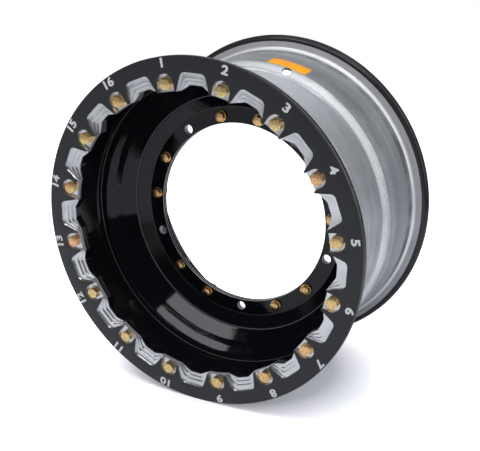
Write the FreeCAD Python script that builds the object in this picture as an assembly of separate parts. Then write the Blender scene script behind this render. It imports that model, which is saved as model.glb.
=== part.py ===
import FreeCAD, Part
import math
import os

from FreeCAD import Vector

# A two-piece racing wheel, 15 in across the bead seats and 8 in wide, with a bolted beadlock ring.
# Two spun shells meet at the hub flange. The ring at the front clamps the tyre's outer bead.
# The axle line is Y and the front is towards -Y. The origin is the centre of the hub bore,
# on the mounting face. Sizes are in millimetres, angles in degrees from +X towards +Z.

# Shell metal and hub flange
WALL = 3.6
BORE_R = 114.85
FLANGE_FLAT = 20.15
REAR_FLANGE_FLAT = 25.15
HUB_HOLE_INSET = 8.98
HUB_HOLE_R = 5.75
HUB_HOLES = 5
SHELL_BOLTS_PER_HUB_HOLE = 2
HUB_ANGLE = 125.6

# Front shell: a floor cone by the flange, a steeper cone with a slight step, and a straight barrel.
# The step starts at a share of the cone's run and takes up a share of it, and it is a little steeper.
FLOOR_RUN = 15.5
FLOOR_RISE = 10.5
CONE_STEP_AT = 0.427
CONE_STEP_SHARE = 0.17
CONE_STEP_LEAN = 1.2
CONE_STEP_BEND = 16.0
BARREL_START = 54.2
BARREL_OUTSIDE_BOLTS = 3.6
FLANGE_BEND = 3.0
FLOOR_BEND = 12.0
SHOULDER_BEND = 29.0

# Beadlock ring, and the base ring behind it that is welded to the front shell
RING_REACH = 120.6
RING_T = 9.5
BOLT_R = 176.4
BOLT_COUNT = 16
BOLT_ANGLE = 98.8
RING_BAND = 28.2
TAB_REACH = 8.9
TAB_TIP_W = 25.5
TAB_ROOT_W = 44.6
NOTCH_OUTSIDE_BOLTS = 11.1
NOTCH_CORNER = 6.0
FIRST_STEP = 6.2
FIRST_DROP = 3.2
STEP = 3.9
STEP_DROP = 2.25
STEP_COUNT = 3
SIDE_STEP_ROOT = 2.4
SIDE_STEP_TIP = 1.0
POCKET_R = 10.3
POCKET_DEPTH = 4.4
PAD_T = 10.7
WELD_NECK = 5.0
PILOT_OUTSIDE_BOLTS = 13.1
BEAD_GAP = 6.4
RIM_SETBACK = 2.8
PAD_NOTCH_RELIEF = 2.0
GRIP_COUNT = 3
GRIP_PITCH = 3.0
GRIP_DEPTH = 0.7
RING_BACK_EDGE = 1.5
EDGE = 0.8
BORE_EDGE = 0.5

# Rear shell: a steep wall, the valve slope, a tapered bead seat and the rim flange
BEAD_SEAT_R = 190.1
BEAD_SEAT_END = 97.0
SEAT_TAPER = 5.6
VALVE_SLOPE_START = 16.3
VALVE_SLOPE_RISE = 9.0
VALVE_SLOPE_RUN = 8.0
RIM_FLANGE_H = 17.3
RIM_FLANGE_LEAN = 4.5
LIP_LENGTH = 7.0
JOINT_BEND = 4.4
WALL_BEND = 6.4
SLOPE_BEND = 1.4
SEAT_FILLET = 6.5
LIP_BEND = 3.4
VALVE_HOLE_R = 5.75
VALVE_ANGLE = 74.6
VALVE_UP_SLOPE = 1.2

# Fasteners
BEAD_BOLT = {"shank_r": 3.95, "flats": 12.7, "head_h": 5.6, "collar_r": 6.1, "collar_h": 0.4}
SHELL_BOLT = {"shank_r": 3.15, "flats": 11.1, "head_h": 4.3, "collar_r": 5.4, "collar_h": 0.4}
HEAD_TOP = 0.48
HEAD_BEVEL_ANGLE = 30
HOLE_CLEARANCE = 0.15
THREAD_CLEARANCE = 0.05
INSERT_R = 5.5
INSERT_LENGTH = 9.0
INSERT_SHY = 0.5
WASHER_R = 7.1
WASHER_T = 1.2
NUT_HEX_H = 5.2
NUT_COLLAR_H = 1.8
NUT_COLLAR_R = 5.0
BOLT_TAIL = 2.0

# Sealant bead in the groove between the shells
SEAL_R = 3.2
SEAL_OUT = 2.0
SEAL_FORWARD = 1.2

# Places worked out from the sizes above
flange_stack = 2 * WALL
flange_edge = BORE_R + FLANGE_FLAT
rear_flange_edge = BORE_R + REAR_FLANGE_FLAT
hub_circle = BORE_R + HUB_HOLE_INSET
barrel_r = BOLT_R + BARREL_OUTSIDE_BOLTS
floor_r = flange_edge + FLOOR_RUN
floor_y = -flange_stack - FLOOR_RISE
cone_run = barrel_r - floor_r
cone_slope = (floor_y + BARREL_START) / cone_run / (1 + CONE_STEP_SHARE * (CONE_STEP_LEAN - 1))
step_run = CONE_STEP_SHARE * cone_run
step_rise = step_run * cone_slope * CONE_STEP_LEAN
step_r = floor_r + CONE_STEP_AT * cone_run
step_y = floor_y - (step_r - floor_r) * cone_slope
ring_r = BOLT_R + RING_BAND
tab_r = BOLT_R - TAB_REACH
notch_r = BOLT_R + NOTCH_OUTSIDE_BOLTS
pilot_r = BOLT_R + PILOT_OUTSIDE_BOLTS
rim_r = ring_r - RIM_SETBACK
ring_front = -RING_REACH
ring_back = ring_front + RING_T
pocket_floor = ring_front + POCKET_DEPTH
pad_back = ring_back + PAD_T
neck_end = pad_back + WELD_NECK
shelf = ring_back + BEAD_GAP
slope_end_r = BEAD_SEAT_R - SEAT_TAPER
slope_end = VALVE_SLOPE_START + VALVE_SLOPE_RISE
slope_start_r = slope_end_r - VALVE_SLOPE_RUN
lip_r = BEAD_SEAT_R + RIM_FLANGE_H
lip_corner = BEAD_SEAT_END + RIM_FLANGE_LEAN
cut_margin = 3.0


def section_point(r, y):
    return Vector(r, y, 0)


def rounded_face(corners, place):
    """Face inside straight runs, with each corner (u, v, radius) rounded by its radius."""
    count = len(corners)
    starts = []
    arcs = []
    ends = []
    for index, (u, v, radius) in enumerate(corners):
        here = Vector(u, v, 0)
        before = Vector(*corners[index - 1][:2], 0) - here
        after = Vector(*corners[(index + 1) % count][:2], 0) - here
        before.normalize()
        after.normalize()
        opening = before.getAngle(after)
        if radius <= 0 or abs(math.pi - opening) < 1e-4:
            starts.append(here)
            ends.append(here)
            arcs.append(None)
            continue
        reach = radius / math.tan(opening / 2)
        bisector = (before + after).normalize()
        centre = here + bisector * (radius / math.sin(opening / 2))
        starts.append(here + before * reach)
        ends.append(here + after * reach)
        arcs.append(centre - bisector * radius)
    edges = []
    for index in range(count):
        first = place(*ends[index - 1][:2])
        last = place(*starts[index][:2])
        if (last - first).Length > 1e-5:
            edges.append(Part.LineSegment(first, last).toShape())
        if arcs[index] is not None:
            finish = place(*ends[index][:2])
            edges.append(Part.Arc(last, place(*arcs[index][:2]), finish).toShape())
    return Part.Face(Part.Wire(edges))


def turned(corners):
    """Solid of revolution about the axle line from section corners (radius, y, rounding)."""
    return rounded_face(corners, section_point).revolve(Vector(), Vector(0, 1, 0), 360)


def sheet_sides(path, wall):
    """Both sides of a bent sheet: the path itself and its copy one wall to the left.

    Each path corner is (r, y, bend), where bend is the radius on the inside of the bend.
    At the two ends of the sheet it is the rounding of both edges.
    """
    directions = []
    for start, finish in zip(path[:-1], path[1:]):
        direction = Vector(finish[0] - start[0], finish[1] - start[1], 0)
        directions.append(direction.normalize())
    near = []
    far = []
    for index, (r, y, bend) in enumerate(path):
        coming = directions[max(index - 1, 0)]
        going = directions[min(index, len(directions) - 1)]
        left_coming = Vector(-coming.y, coming.x, 0)
        left_going = Vector(-going.y, going.x, 0)
        mitre = (left_coming + left_going).normalize()
        offset = mitre * (wall / mitre.dot(left_going))
        turn = coming.cross(going).z
        near.append((r, y, bend + wall if turn > 0 else bend))
        far.append((r + offset.x, y + offset.y, bend + wall if turn < 0 else bend))
    return near, far


def at_angle(shape, angle):
    """Copy of a shape drawn at +Z, turned about the axle line to the angle."""
    copy = shape.copy()
    copy.rotate(Vector(), Vector(0, -1, 0), angle - 90)
    return copy


def ring_of(shape, angles):
    return [at_angle(shape, angle) for angle in angles]


def bolt_angles():
    return [BOLT_ANGLE - 360 * index / BOLT_COUNT for index in range(BOLT_COUNT)]


def notch_angles():
    half_pitch = 180 / BOLT_COUNT
    return [angle - half_pitch for angle in bolt_angles()]


def hub_position(index):
    return HUB_ANGLE - 360 * index / (HUB_HOLES * (SHELL_BOLTS_PER_HUB_HOLE + 1))


def hub_hole_angles():
    step = SHELL_BOLTS_PER_HUB_HOLE + 1
    return [hub_position(index) for index in range(HUB_HOLES * step) if index % step == 0]


def shell_bolt_angles():
    step = SHELL_BOLTS_PER_HUB_HOLE + 1
    return [hub_position(index) for index in range(HUB_HOLES * step) if index % step]


def rod(radius, from_y, to_y, at_r):
    """Round bar along the axle direction, drawn at +Z."""
    return Part.makeCylinder(radius, to_y - from_y, Vector(0, from_y, at_r), Vector(0, 1, 0))


def plate(corners, from_y, to_y):
    """Prism along the axle direction, from corners (across, out, rounding) drawn at +Z."""
    face = rounded_face(corners, lambda across, out: Vector(across, from_y, out))
    return face.extrude(Vector(0, to_y - from_y, 0))


def notch(top_r, level, from_y, to_y):
    """Opening between two bolt tabs, narrowed at its sides by the level of its step."""
    pitch_at_tip = 2 * math.pi * tab_r / BOLT_COUNT
    pitch_at_root = 2 * math.pi * notch_r / BOLT_COUNT
    tip = (pitch_at_tip - TAB_TIP_W) / 2 - level * SIDE_STEP_TIP
    root = (pitch_at_root - TAB_ROOT_W) / 2 - level * SIDE_STEP_ROOT
    flare = (tip - root) / (top_r - tab_r)
    low_r = tab_r - cut_margin
    low = tip + flare * cut_margin
    corners = [(-low, low_r, 0), (low, low_r, 0), (root, top_r, NOTCH_CORNER), (-root, top_r, NOTCH_CORNER)]
    return plate(corners, from_y, to_y)


def notch_cutters():
    """Steps that go down and inwards from the ring's face, and the opening inside the last one."""
    cutters = []
    top_r = notch_r
    depth = FIRST_DROP
    for level in range(STEP_COUNT):
        cutters.append(notch(top_r, level, ring_front - cut_margin, ring_front + depth))
        top_r -= FIRST_STEP if level == 0 else STEP
        depth += STEP_DROP
    cutters.append(notch(top_r, STEP_COUNT, ring_front - cut_margin, ring_back + cut_margin))
    return cutters


def inner_notch_r():
    return notch_r - FIRST_STEP - (STEP_COUNT - 1) * STEP


def bolt_pocket():
    """Flat seat for a bolt head, open towards the axle."""
    low_r = tab_r - cut_margin
    top_r = BOLT_R + POCKET_R
    corners = [(-POCKET_R, low_r, 0), (POCKET_R, low_r, 0), (POCKET_R, top_r, POCKET_R),
               (-POCKET_R, top_r, POCKET_R)]
    return plate(corners, ring_front - cut_margin, pocket_floor)


def grip_corners(y, sign, from_r, to_r):
    """Zigzag of turned grooves that bite the tyre bead, centred on a clamping face."""
    corners = []
    middle = (from_r + to_r) / 2
    first = middle - (GRIP_COUNT - 1) / 2 * GRIP_PITCH
    for index in range(GRIP_COUNT):
        r = first + index * GRIP_PITCH
        corners.append((r - GRIP_DEPTH, y, 0))
        corners.append((r, y + sign * GRIP_DEPTH, 0))
        corners.append((r + GRIP_DEPTH, y, 0))
    return corners


def beadlock_ring():
    grips = grip_corners(ring_back, -1, pilot_r, ring_r)
    section = [(tab_r, ring_front, 0), (ring_r, ring_front, EDGE), (ring_r, ring_back, RING_BACK_EDGE)]
    body = turned(section + grips[::-1] + [(tab_r, ring_back, 0)])
    cutters = ring_of(Part.makeCompound(notch_cutters()), notch_angles())
    cutters += ring_of(bolt_pocket(), bolt_angles())
    hole = rod(BEAD_BOLT["shank_r"] + HOLE_CLEARANCE, ring_front, ring_back + cut_margin, BOLT_R)
    cutters += ring_of(hole, bolt_angles())
    for cutter in cutters:
        body = body.cut(cutter.Solids)
    return body


def base_ring():
    """Thick pad that the ring bolts to, its bead shelf, and the neck welded to the front shell."""
    pad = [(barrel_r, neck_end, 0), (barrel_r, pad_back, EDGE), (tab_r, pad_back, EDGE),
           (tab_r, ring_back, 0), (pilot_r, ring_back, EDGE), (pilot_r, shelf, EDGE)]
    grips = grip_corners(shelf, 1, pilot_r, rim_r)
    rim = [(rim_r, shelf, EDGE), (rim_r, pad_back, EDGE), (barrel_r + WALL, pad_back, WALL),
           (barrel_r + WALL, neck_end, 0)]
    body = turned(pad + grips + rim)
    relief_r = inner_notch_r() + PAD_NOTCH_RELIEF
    opening = notch(relief_r, STEP_COUNT, ring_back - cut_margin, pad_back + cut_margin)
    cutters = ring_of(opening, notch_angles())
    socket_end = ring_back + INSERT_LENGTH + INSERT_SHY
    socket = rod(INSERT_R + THREAD_CLEARANCE, ring_back - cut_margin, socket_end, BOLT_R)
    cutters += ring_of(socket, bolt_angles())
    for cutter in cutters:
        body = body.cut(cutter)
    return body


def outer_half():
    """Front shell, from the hub flange to the base ring."""
    bowl = [(BORE_R, -flange_stack, BORE_EDGE), (flange_edge, -flange_stack, FLANGE_BEND),
            (floor_r, floor_y, FLOOR_BEND), (step_r, step_y, CONE_STEP_BEND),
            (step_r + step_run, step_y - step_rise, CONE_STEP_BEND),
            (barrel_r, -BARREL_START, SHOULDER_BEND), (barrel_r, neck_end, 0)]
    inside, outside = sheet_sides(bowl, WALL)
    body = turned(inside + outside[::-1])
    for cutter in flange_hole_cutters():
        body = body.cut(cutter)
    return body


def flange_hole_cutters():
    low = -flange_stack - cut_margin
    hub_hole = rod(HUB_HOLE_R, low, cut_margin, hub_circle)
    bolt_hole = rod(SHELL_BOLT["shank_r"] + HOLE_CLEARANCE, low, cut_margin, hub_circle)
    return ring_of(hub_hole, hub_hole_angles()) + ring_of(bolt_hole, shell_bolt_angles())


def valve_hole_cutter():
    """Bar square to the valve slope, a little above its middle."""
    slope = Vector(VALVE_SLOPE_RUN, VALVE_SLOPE_RISE, 0).normalize()
    centre_r = (slope_start_r + slope_end_r) / 2 + VALVE_UP_SLOPE * slope.x
    centre_y = (VALVE_SLOPE_START + slope_end) / 2 + VALVE_UP_SLOPE * slope.y
    outward = Vector(0, -slope.x, slope.y)
    start = Vector(0, centre_y, centre_r) - outward * (WALL + cut_margin)
    return at_angle(Part.makeCylinder(VALVE_HOLE_R, WALL + 2 * cut_margin, start, outward), VALVE_ANGLE)


def inner_half():
    """Rear shell, from the hub flange to the rim flange and its lip."""
    tyre_side = [(BORE_R, -WALL, BORE_EDGE), (rear_flange_edge, -WALL, JOINT_BEND),
                 (slope_start_r, VALVE_SLOPE_START, WALL_BEND), (slope_end_r, slope_end, SLOPE_BEND),
                 (BEAD_SEAT_R, BEAD_SEAT_END, SEAT_FILLET), (lip_r, lip_corner, LIP_BEND),
                 (lip_r, lip_corner + LIP_LENGTH, EDGE)]
    outside, inside = sheet_sides(tyre_side, WALL)
    body = turned(outside + inside[::-1])
    for cutter in flange_hole_cutters() + [valve_hole_cutter()]:
        body = body.cut(cutter)
    return body


def joint_seal(front, rear):
    """Sealant bead pressed into the groove where the two shells part."""
    centre = Vector(rear_flange_edge + SEAL_OUT, -WALL - SEAL_FORWARD, 0)
    circle = Part.Face(Part.Wire(Part.makeCircle(SEAL_R, centre, Vector(0, 0, 1))))
    bead = circle.revolve(Vector(), Vector(0, 1, 0), 360)
    return bead.cut(front).cut(rear)


def hexagon_bar(flats, from_y, to_y, at_r):
    corner_r = flats / math.sqrt(3)
    corners = []
    for index in range(6):
        turn = math.radians(60 * index)
        corners.append((corner_r * math.cos(turn), at_r + corner_r * math.sin(turn), 0))
    return plate(corners, from_y, to_y)


def hex_bolt(size, seat, tip, at_r):
    """Hexagon bolt whose low round face rests on the seat, with its head towards the front."""
    collar_front = seat - size["collar_h"]
    head_front = collar_front - size["head_h"]
    top_r = size["flats"] * HEAD_TOP
    spread = top_r + size["head_h"] / math.tan(math.radians(HEAD_BEVEL_ANGLE))
    bevel = Part.makeCone(top_r, spread, size["head_h"], Vector(0, head_front, at_r), Vector(0, 1, 0))
    head = hexagon_bar(size["flats"], head_front, collar_front, at_r).common(bevel)
    collar = rod(size["collar_r"], collar_front, seat, at_r)
    shank = rod(size["shank_r"], seat, tip, at_r)
    return head.fuse(collar).fuse(shank).removeSplitter()


def beadlock_bolts():
    tip = ring_back + INSERT_LENGTH
    return Part.makeCompound(ring_of(hex_bolt(BEAD_BOLT, pocket_floor, tip, BOLT_R), bolt_angles()))


def beadlock_inserts():
    """Threaded steel sleeves in the pad, a little below its front face."""
    front = ring_back + INSERT_SHY
    back = ring_back + INSERT_LENGTH
    thread_r = BEAD_BOLT["shank_r"] + THREAD_CLEARANCE
    thread = rod(thread_r, front - cut_margin, back + cut_margin, BOLT_R)
    sleeve = rod(INSERT_R, front, back, BOLT_R).cut(thread)
    return Part.makeCompound(ring_of(sleeve, bolt_angles()))


def shell_bolts():
    seat = -flange_stack - WASHER_T
    tip = WASHER_T + NUT_HEX_H + NUT_COLLAR_H + BOLT_TAIL
    return Part.makeCompound(ring_of(hex_bolt(SHELL_BOLT, seat, tip, hub_circle), shell_bolt_angles()))


def washers(front):
    back = front + WASHER_T
    hole_r = SHELL_BOLT["shank_r"] + HOLE_CLEARANCE
    hole = rod(hole_r, front - cut_margin, back + cut_margin, hub_circle)
    washer = rod(WASHER_R, front, back, hub_circle).cut(hole)
    return Part.makeCompound(ring_of(washer, shell_bolt_angles()))


def lock_nuts():
    """Hexagon nuts with the round collar that holds their locking ring."""
    hex_end = WASHER_T + NUT_HEX_H
    end = hex_end + NUT_COLLAR_H
    body = hexagon_bar(SHELL_BOLT["flats"], WASHER_T, hex_end, hub_circle)
    body = body.fuse(rod(NUT_COLLAR_R, hex_end, end, hub_circle))
    thread_r = SHELL_BOLT["shank_r"] + THREAD_CLEARANCE
    thread = rod(thread_r, WASHER_T - cut_margin, end + cut_margin, hub_circle)
    return Part.makeCompound(ring_of(body.cut(thread), shell_bolt_angles()))


def build():
    front = outer_half()
    rear = inner_half()
    return {
        "beadlock_ring": beadlock_ring(),
        "base_ring": base_ring(),
        "outer_half": front,
        "inner_half": rear,
        "joint_seal": joint_seal(front, rear),
        "beadlock_bolts": beadlock_bolts(),
        "beadlock_inserts": beadlock_inserts(),
        "shell_bolts": shell_bolts(),
        "front_washers": washers(-flange_stack - WASHER_T),
        "rear_washers": washers(0),
        "lock_nuts": lock_nuts(),
    }


def main():
    os.makedirs("parts", exist_ok=True)
    for name, shape in build().items():
        shape.exportStep("parts/" + name + ".step")
        print(name, len(shape.Solids), "solids", round(shape.Volume / 1000, 2), "cm3", shape.isValid())


main()
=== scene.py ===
import math
import bpy
import bmesh
from mathutils import Matrix, Vector


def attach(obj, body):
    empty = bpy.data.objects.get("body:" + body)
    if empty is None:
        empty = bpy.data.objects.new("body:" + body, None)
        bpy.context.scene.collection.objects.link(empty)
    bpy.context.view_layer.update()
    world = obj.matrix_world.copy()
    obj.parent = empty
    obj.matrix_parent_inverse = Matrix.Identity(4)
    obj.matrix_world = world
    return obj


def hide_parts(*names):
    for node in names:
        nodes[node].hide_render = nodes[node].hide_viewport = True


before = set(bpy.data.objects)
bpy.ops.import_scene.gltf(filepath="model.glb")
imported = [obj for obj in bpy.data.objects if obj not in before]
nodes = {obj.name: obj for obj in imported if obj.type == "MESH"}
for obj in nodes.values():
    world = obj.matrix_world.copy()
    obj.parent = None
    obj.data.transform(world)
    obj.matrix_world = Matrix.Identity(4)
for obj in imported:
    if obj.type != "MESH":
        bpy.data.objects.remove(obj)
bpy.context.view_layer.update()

scene = bpy.context.scene
mm = 0.001

# The wheel's main sizes in millimetres and degrees. The axle is Y, the front looks towards -Y.
wheel = {
    "wall": 3.6,
    "boreR": 114.85,
    "hubCircleR": 123.83,
    "ringR": 204.6,
    "ringFront": -120.6,
    "ringBack": -111.1,
    "boltCircleR": 176.4,
    "boltCount": 16,
    "boltAngle": 98.8,
    "hubAngle": 125.6,
    "hubPlaces": 15,
    "tabR": 167.5,
    "stepsPerPitch": 18,
    "edge": 0.8,
    "hubHoleR": 5.75,
    "shellBoltHoleR": 3.3,
    "sharpAngle": 32,
    "weld": 0.02,
}
pitch = 360 / wheel["boltCount"]
turnSteps = wheel["boltCount"] * wheel["stepsPerPitch"]
boltAngles = [wheel["boltAngle"] - pitch * i for i in range(wheel["boltCount"])]
hubPlaceAngles = [wheel["hubAngle"] - 360 / wheel["hubPlaces"] * i for i in range(wheel["hubPlaces"])]
hubHoleAngles = hubPlaceAngles[::3]
shellBoltAngles = [angle for i, angle in enumerate(hubPlaceAngles) if i % 3]


# Node helpers

def addNode(tree, kind, values=None, **settings):
    node = tree.nodes.new(kind)
    for name, value in settings.items():
        setattr(node, name, value)
    for name, value in (values or {}).items():
        node.inputs[name].default_value = value
    return node


def feed(node, **links):
    # links each output to the input of that name
    for label, output in links.items():
        node.id_data.links.new(output, node.inputs[label.replace("_", " ")])


def mathNode(tree, operation, a, b=None):
    node = addNode(tree, "ShaderNodeMath", operation=operation)
    for socket, value in zip(node.inputs, (a, b)):
        if value is None:
            continue
        if isinstance(value, (int, float)):
            socket.default_value = value
        else:
            tree.links.new(value, socket)
    return node.outputs[0]


def times(tree, a, b):
    return mathNode(tree, "MULTIPLY", a, b)


def plus(tree, a, b):
    return mathNode(tree, "ADD", a, b)


def weighted(tree, *pairs):
    # the sum of values, each times its weight
    total = None
    for value, weight in pairs:
        share = times(tree, value, weight)
        total = plus(tree, total, share) if total else share
    return total


def mapRange(tree, value, low, high, toLow=0.0, toHigh=1.0):
    node = addNode(tree, "ShaderNodeMapRange",
                   {"From Min": low, "From Max": high, "To Min": toLow, "To Max": toHigh})
    feed(node, Value=value)
    return node.outputs["Result"]


def fadeOut(tree, value, start, end):
    # one before start, nothing after end
    return mapRange(tree, value, start, end, 1.0, 0.0)


def noiseFrom(tree, vector, scale, detail, roughness):
    node = addNode(tree, "ShaderNodeTexNoise", {"Scale": scale, "Detail": detail, "Roughness": roughness})
    feed(node, Vector=vector)
    return node.outputs["Fac"]


def mixColour(tree, factor, a, b):
    node = addNode(tree, "ShaderNodeMix", data_type="RGBA")
    for name, value in (("Factor", factor), ("A", a), ("B", b)):
        socket = next(s for s in node.inputs if s.name == name and (name == "Factor" or s.type == "RGBA"))
        if isinstance(value, (int, float)):
            socket.default_value = value
        elif isinstance(value, tuple):
            socket.default_value = (*value, 1)
        else:
            tree.links.new(value, socket)
    return next(s for s in node.outputs if s.type == "RGBA")


def newGroup(name, inputs, outputs):
    group = bpy.data.node_groups.new(name, "ShaderNodeTree")
    for label, value in inputs.items():
        socket = group.interface.new_socket(name=label, in_out="INPUT", socket_type="NodeSocketFloat")
        socket.default_value = value
    for label in outputs:
        group.interface.new_socket(name=label, in_out="OUTPUT", socket_type="NodeSocketFloat")
    return group, addNode(group, "NodeGroupInput"), addNode(group, "NodeGroupOutput")


def polarCoordinates(tree):
    # distance from the axle and place along it, in millimetres, plus x and z
    coords = addNode(tree, "ShaderNodeTexCoord")
    split = addNode(tree, "ShaderNodeSeparateXYZ")
    feed(split, Vector=coords.outputs["Object"])
    x, y, z = split.outputs
    squares = weighted(tree, (x, x), (z, z))
    return times(tree, mathNode(tree, "SQRT", squares), 1 / mm), times(tree, y, 1 / mm), x, z


# Scale per millimetre, detail and roughness of the noise in each pattern
noises = {
    "fine": (1.0, 3.0, 0.6),
    "broad": (0.12, 2.0, 0.5),
    "clouds": (0.03, 4.0, 0.55),
    "specks": (0.9, 3.0, 0.7),
}
# The levels of a noise that become zero and one
levels = {"Bands": (0.35, 0.65), "Clouds": (0.35, 0.7), "Specks": (0.5, 0.75)}


# Lines left by a turning tool or a spinning roller: rings about the axle that waver a little
def turnedLinesGroup():
    group, source, result = newGroup("turnedLines", {"Spacing": 1.0, "Waver": 20.0}, ["Lines", "Bands"])
    radius, along, x, z = polarCoordinates(group)
    density = mathNode(group, "DIVIDE", 1.0, source.outputs["Spacing"])
    waver = source.outputs["Waver"]
    combine = addNode(group, "ShaderNodeCombineXYZ")
    feed(combine, X=weighted(group, (radius, density), (x, waver)),
         Y=weighted(group, (along, density), (z, waver)))
    fine = noiseFrom(group, combine.outputs[0], *noises["fine"])
    broad = noiseFrom(group, combine.outputs[0], *noises["broad"])
    feed(result, Lines=fine, Bands=mapRange(group, broad, *levels["Bands"]))
    return group


# Specks and clouds of a part that has been handled
def handledGroup():
    group, source, result = newGroup("handled", {"Size": 1.0}, ["Clouds", "Specks"])
    coords = addNode(group, "ShaderNodeTexCoord")
    scaled = addNode(group, "ShaderNodeVectorMath", operation="SCALE")
    feed(scaled, Vector=coords.outputs["Object"],
         Scale=mathNode(group, "DIVIDE", 1 / mm, source.outputs["Size"]))
    clouds = noiseFrom(group, scaled.outputs[0], *noises["clouds"])
    specks = noiseFrom(group, scaled.outputs[0], *noises["specks"])
    feed(result, Clouds=mapRange(group, clouds, *levels["Clouds"]),
         Specks=mapRange(group, specks, *levels["Specks"]))
    return group


turnedLines = turnedLinesGroup()
handled = handledGroup()


def newMaterial(name, **constants):
    material = bpy.data.materials.new(name)
    material.use_nodes = True
    tree = material.node_tree
    shader = tree.nodes["Principled BSDF"]
    for label, value in constants.items():
        socket = shader.inputs[label.replace("_", " ")]
        socket.default_value = (*value, 1) if isinstance(value, tuple) else value
    return material, tree, shader


def placeGroup(tree, group, **values):
    node = addNode(tree, "ShaderNodeGroup", node_tree=group)
    for name, value in values.items():
        node.inputs[name].default_value = value
    return node.outputs


def bumpFrom(tree, shader, height, distance):
    bump = addNode(tree, "ShaderNodeBump", {"Strength": 1.0, "Distance": distance})
    feed(bump, Height=height)
    feed(shader, Normal=bump.outputs["Normal"])


# Materials

spunAluminium = {
    "shades": {"Bands": 0.45, "Clouds": 0.35, "Specks": 0.4},
    "lineShade": 1.2,
    "light": (0.60, 0.612, 0.64),
    "dark": (0.27, 0.28, 0.305),
    "uneven": (0.2, 0.8),
    "roughness": (0.32, 0.48),
    # burnished metal with a painted highlight, for the ridge, the hump line and the front barrel's sheen
    "burnishedAndPaintedHighlight": (0.95, 0.95, 0.955),
    # painted shade for the rear corner before the hump line
    "paintedCornerShade": (0.17, 0.17, 0.175),
    "dull": (0.50, 0.49, 0.50),
    # share of painted sheen over the front barrel
    "frontPaintedSheen": 0.15,
    "ridgeRise": (17.4, 18.8),
    "ridgeFall": (22.0, 27.4),
    "ridgeWander": 0.8,
    "corner": (83.5, 93.0, 3.0),
    "humpLine": (93.9, 96.9, 0.9),
    "patches": (0.1, 0.9, 0.25, 0.9),
    "pits": (0.1, 0.7, 1.0, 0.1),
    "flange": (97.1, 98.1),
    "flangeDull": 0.75,
    "flangeRoughness": 0.15,
    "lineSpacing": 1.5,
    "speckBump": 0.5,
    "bump": 0.00003,
}


def zoneMask(tree, value, start, end, soft):
    # one between start and end, fading to nothing over a soft edge outside them
    return times(tree, mapRange(tree, value, start - soft, start), fadeOut(tree, value, end, end + soft))


def makeSpunAluminium():
    look = spunAluminium
    material, tree, shader = newMaterial("spunAluminium", Metallic=0.66)
    lines = placeGroup(tree, turnedLines, Spacing=look["lineSpacing"], Waver=25.0)
    marks = placeGroup(tree, handled, Size=1.0)
    bands, clouds, specks = lines["Bands"], marks["Clouds"], marks["Specks"]
    centredLines = mathNode(tree, "SUBTRACT", lines["Lines"], 0.5)
    shade = weighted(tree, (bands, look["shades"]["Bands"]), (clouds, look["shades"]["Clouds"]),
                     (specks, look["shades"]["Specks"]), (centredLines, look["lineShade"]))
    colour = mixColour(tree, shade, look["light"], look["dark"])
    # painted shade in patches in the rear corner, burnished metal with painted highlights on the ridge and
    # the hump line, a painted sheen on the front barrel, dull on the flange
    radius, along, x, z = polarCoordinates(tree)
    # painted shade, in patches, in the rear corner before the hump line
    corner = times(tree, zoneMask(tree, along, *look["corner"]), mapRange(tree, clouds, *look["patches"]))
    # a painted sheen over the front barrel, fading out where the ridge starts
    paintedFrontSheen = mapRange(tree, along, *look["ridgeRise"], look["frontPaintedSheen"], 0.0)
    # the ridge: burnished metal with a painted highlight that rises sharply and fades slowly, broken by pits
    wander = plus(tree, along, times(tree, clouds, look["ridgeWander"]))
    ridge = times(tree, mapRange(tree, wander, *look["ridgeRise"]),
                  fadeOut(tree, wander, *look["ridgeFall"]))
    pits = mapRange(tree, specks, *look["pits"])
    flange = mapRange(tree, along, *look["flange"])
    # the hump line: burnished metal with a painted highlight
    hump = zoneMask(tree, along, *look["humpLine"])
    for mask, tone in ((corner, "paintedCornerShade"), (paintedFrontSheen, "burnishedAndPaintedHighlight"), (times(tree, ridge, pits), "burnishedAndPaintedHighlight"),
                       (times(tree, flange, look["flangeDull"]), "dull"), (hump, "burnishedAndPaintedHighlight")):
        colour = mixColour(tree, mask, colour, look[tone])
    uneven = weighted(tree, (clouds, 0.5), (lines["Lines"], 0.5))
    rough = mapRange(tree, uneven, *look["uneven"], *look["roughness"])
    rough = plus(tree, rough, times(tree, flange, look["flangeRoughness"]))
    feed(shader, Base_Color=colour, Roughness=rough)
    height = plus(tree, lines["Lines"], times(tree, specks, look["speckBump"]))
    bumpFrom(tree, shader, height, look["bump"])
    return material


milledAluminium = {
    "light": (0.82, 0.82, 0.825),
    "dark": (0.66, 0.66, 0.67),
    "lines": (0.35, 0.65),
    "roughness": (0.16, 0.24),
    "bump": 0.000001,
}


def makeMilledAluminium():
    material, tree, shader = newMaterial("milledAluminium", Metallic=0.92)
    lines = placeGroup(tree, turnedLines, Spacing=0.5, Waver=20.0)
    marks = placeGroup(tree, handled, Size=0.6)
    colour = mixColour(tree, marks["Clouds"], milledAluminium["light"], milledAluminium["dark"])
    rough = mapRange(tree, lines["Lines"], *milledAluminium["lines"], *milledAluminium["roughness"])
    feed(shader, Base_Color=colour, Roughness=rough)
    bumpFrom(tree, shader, lines["Lines"], milledAluminium["bump"])
    return material


anodised = {"colour": (0.019, 0.0196, 0.0215), "roughness": (0.33, 0.42), "bump": 0.000004}


def makeAnodisedBlack():
    material, tree, shader = newMaterial("anodisedBlack", Base_Color=anodised["colour"],
                                         Specular_IOR_Level=0.4)
    marks = placeGroup(tree, handled, Size=1.4)
    lines = placeGroup(tree, turnedLines, Spacing=0.35, Waver=10.0)
    feed(shader, Roughness=mapRange(tree, marks["Clouds"], 0, 1, *anodised["roughness"]))
    bumpFrom(tree, shader, lines["Lines"], anodised["bump"])
    return material


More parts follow.
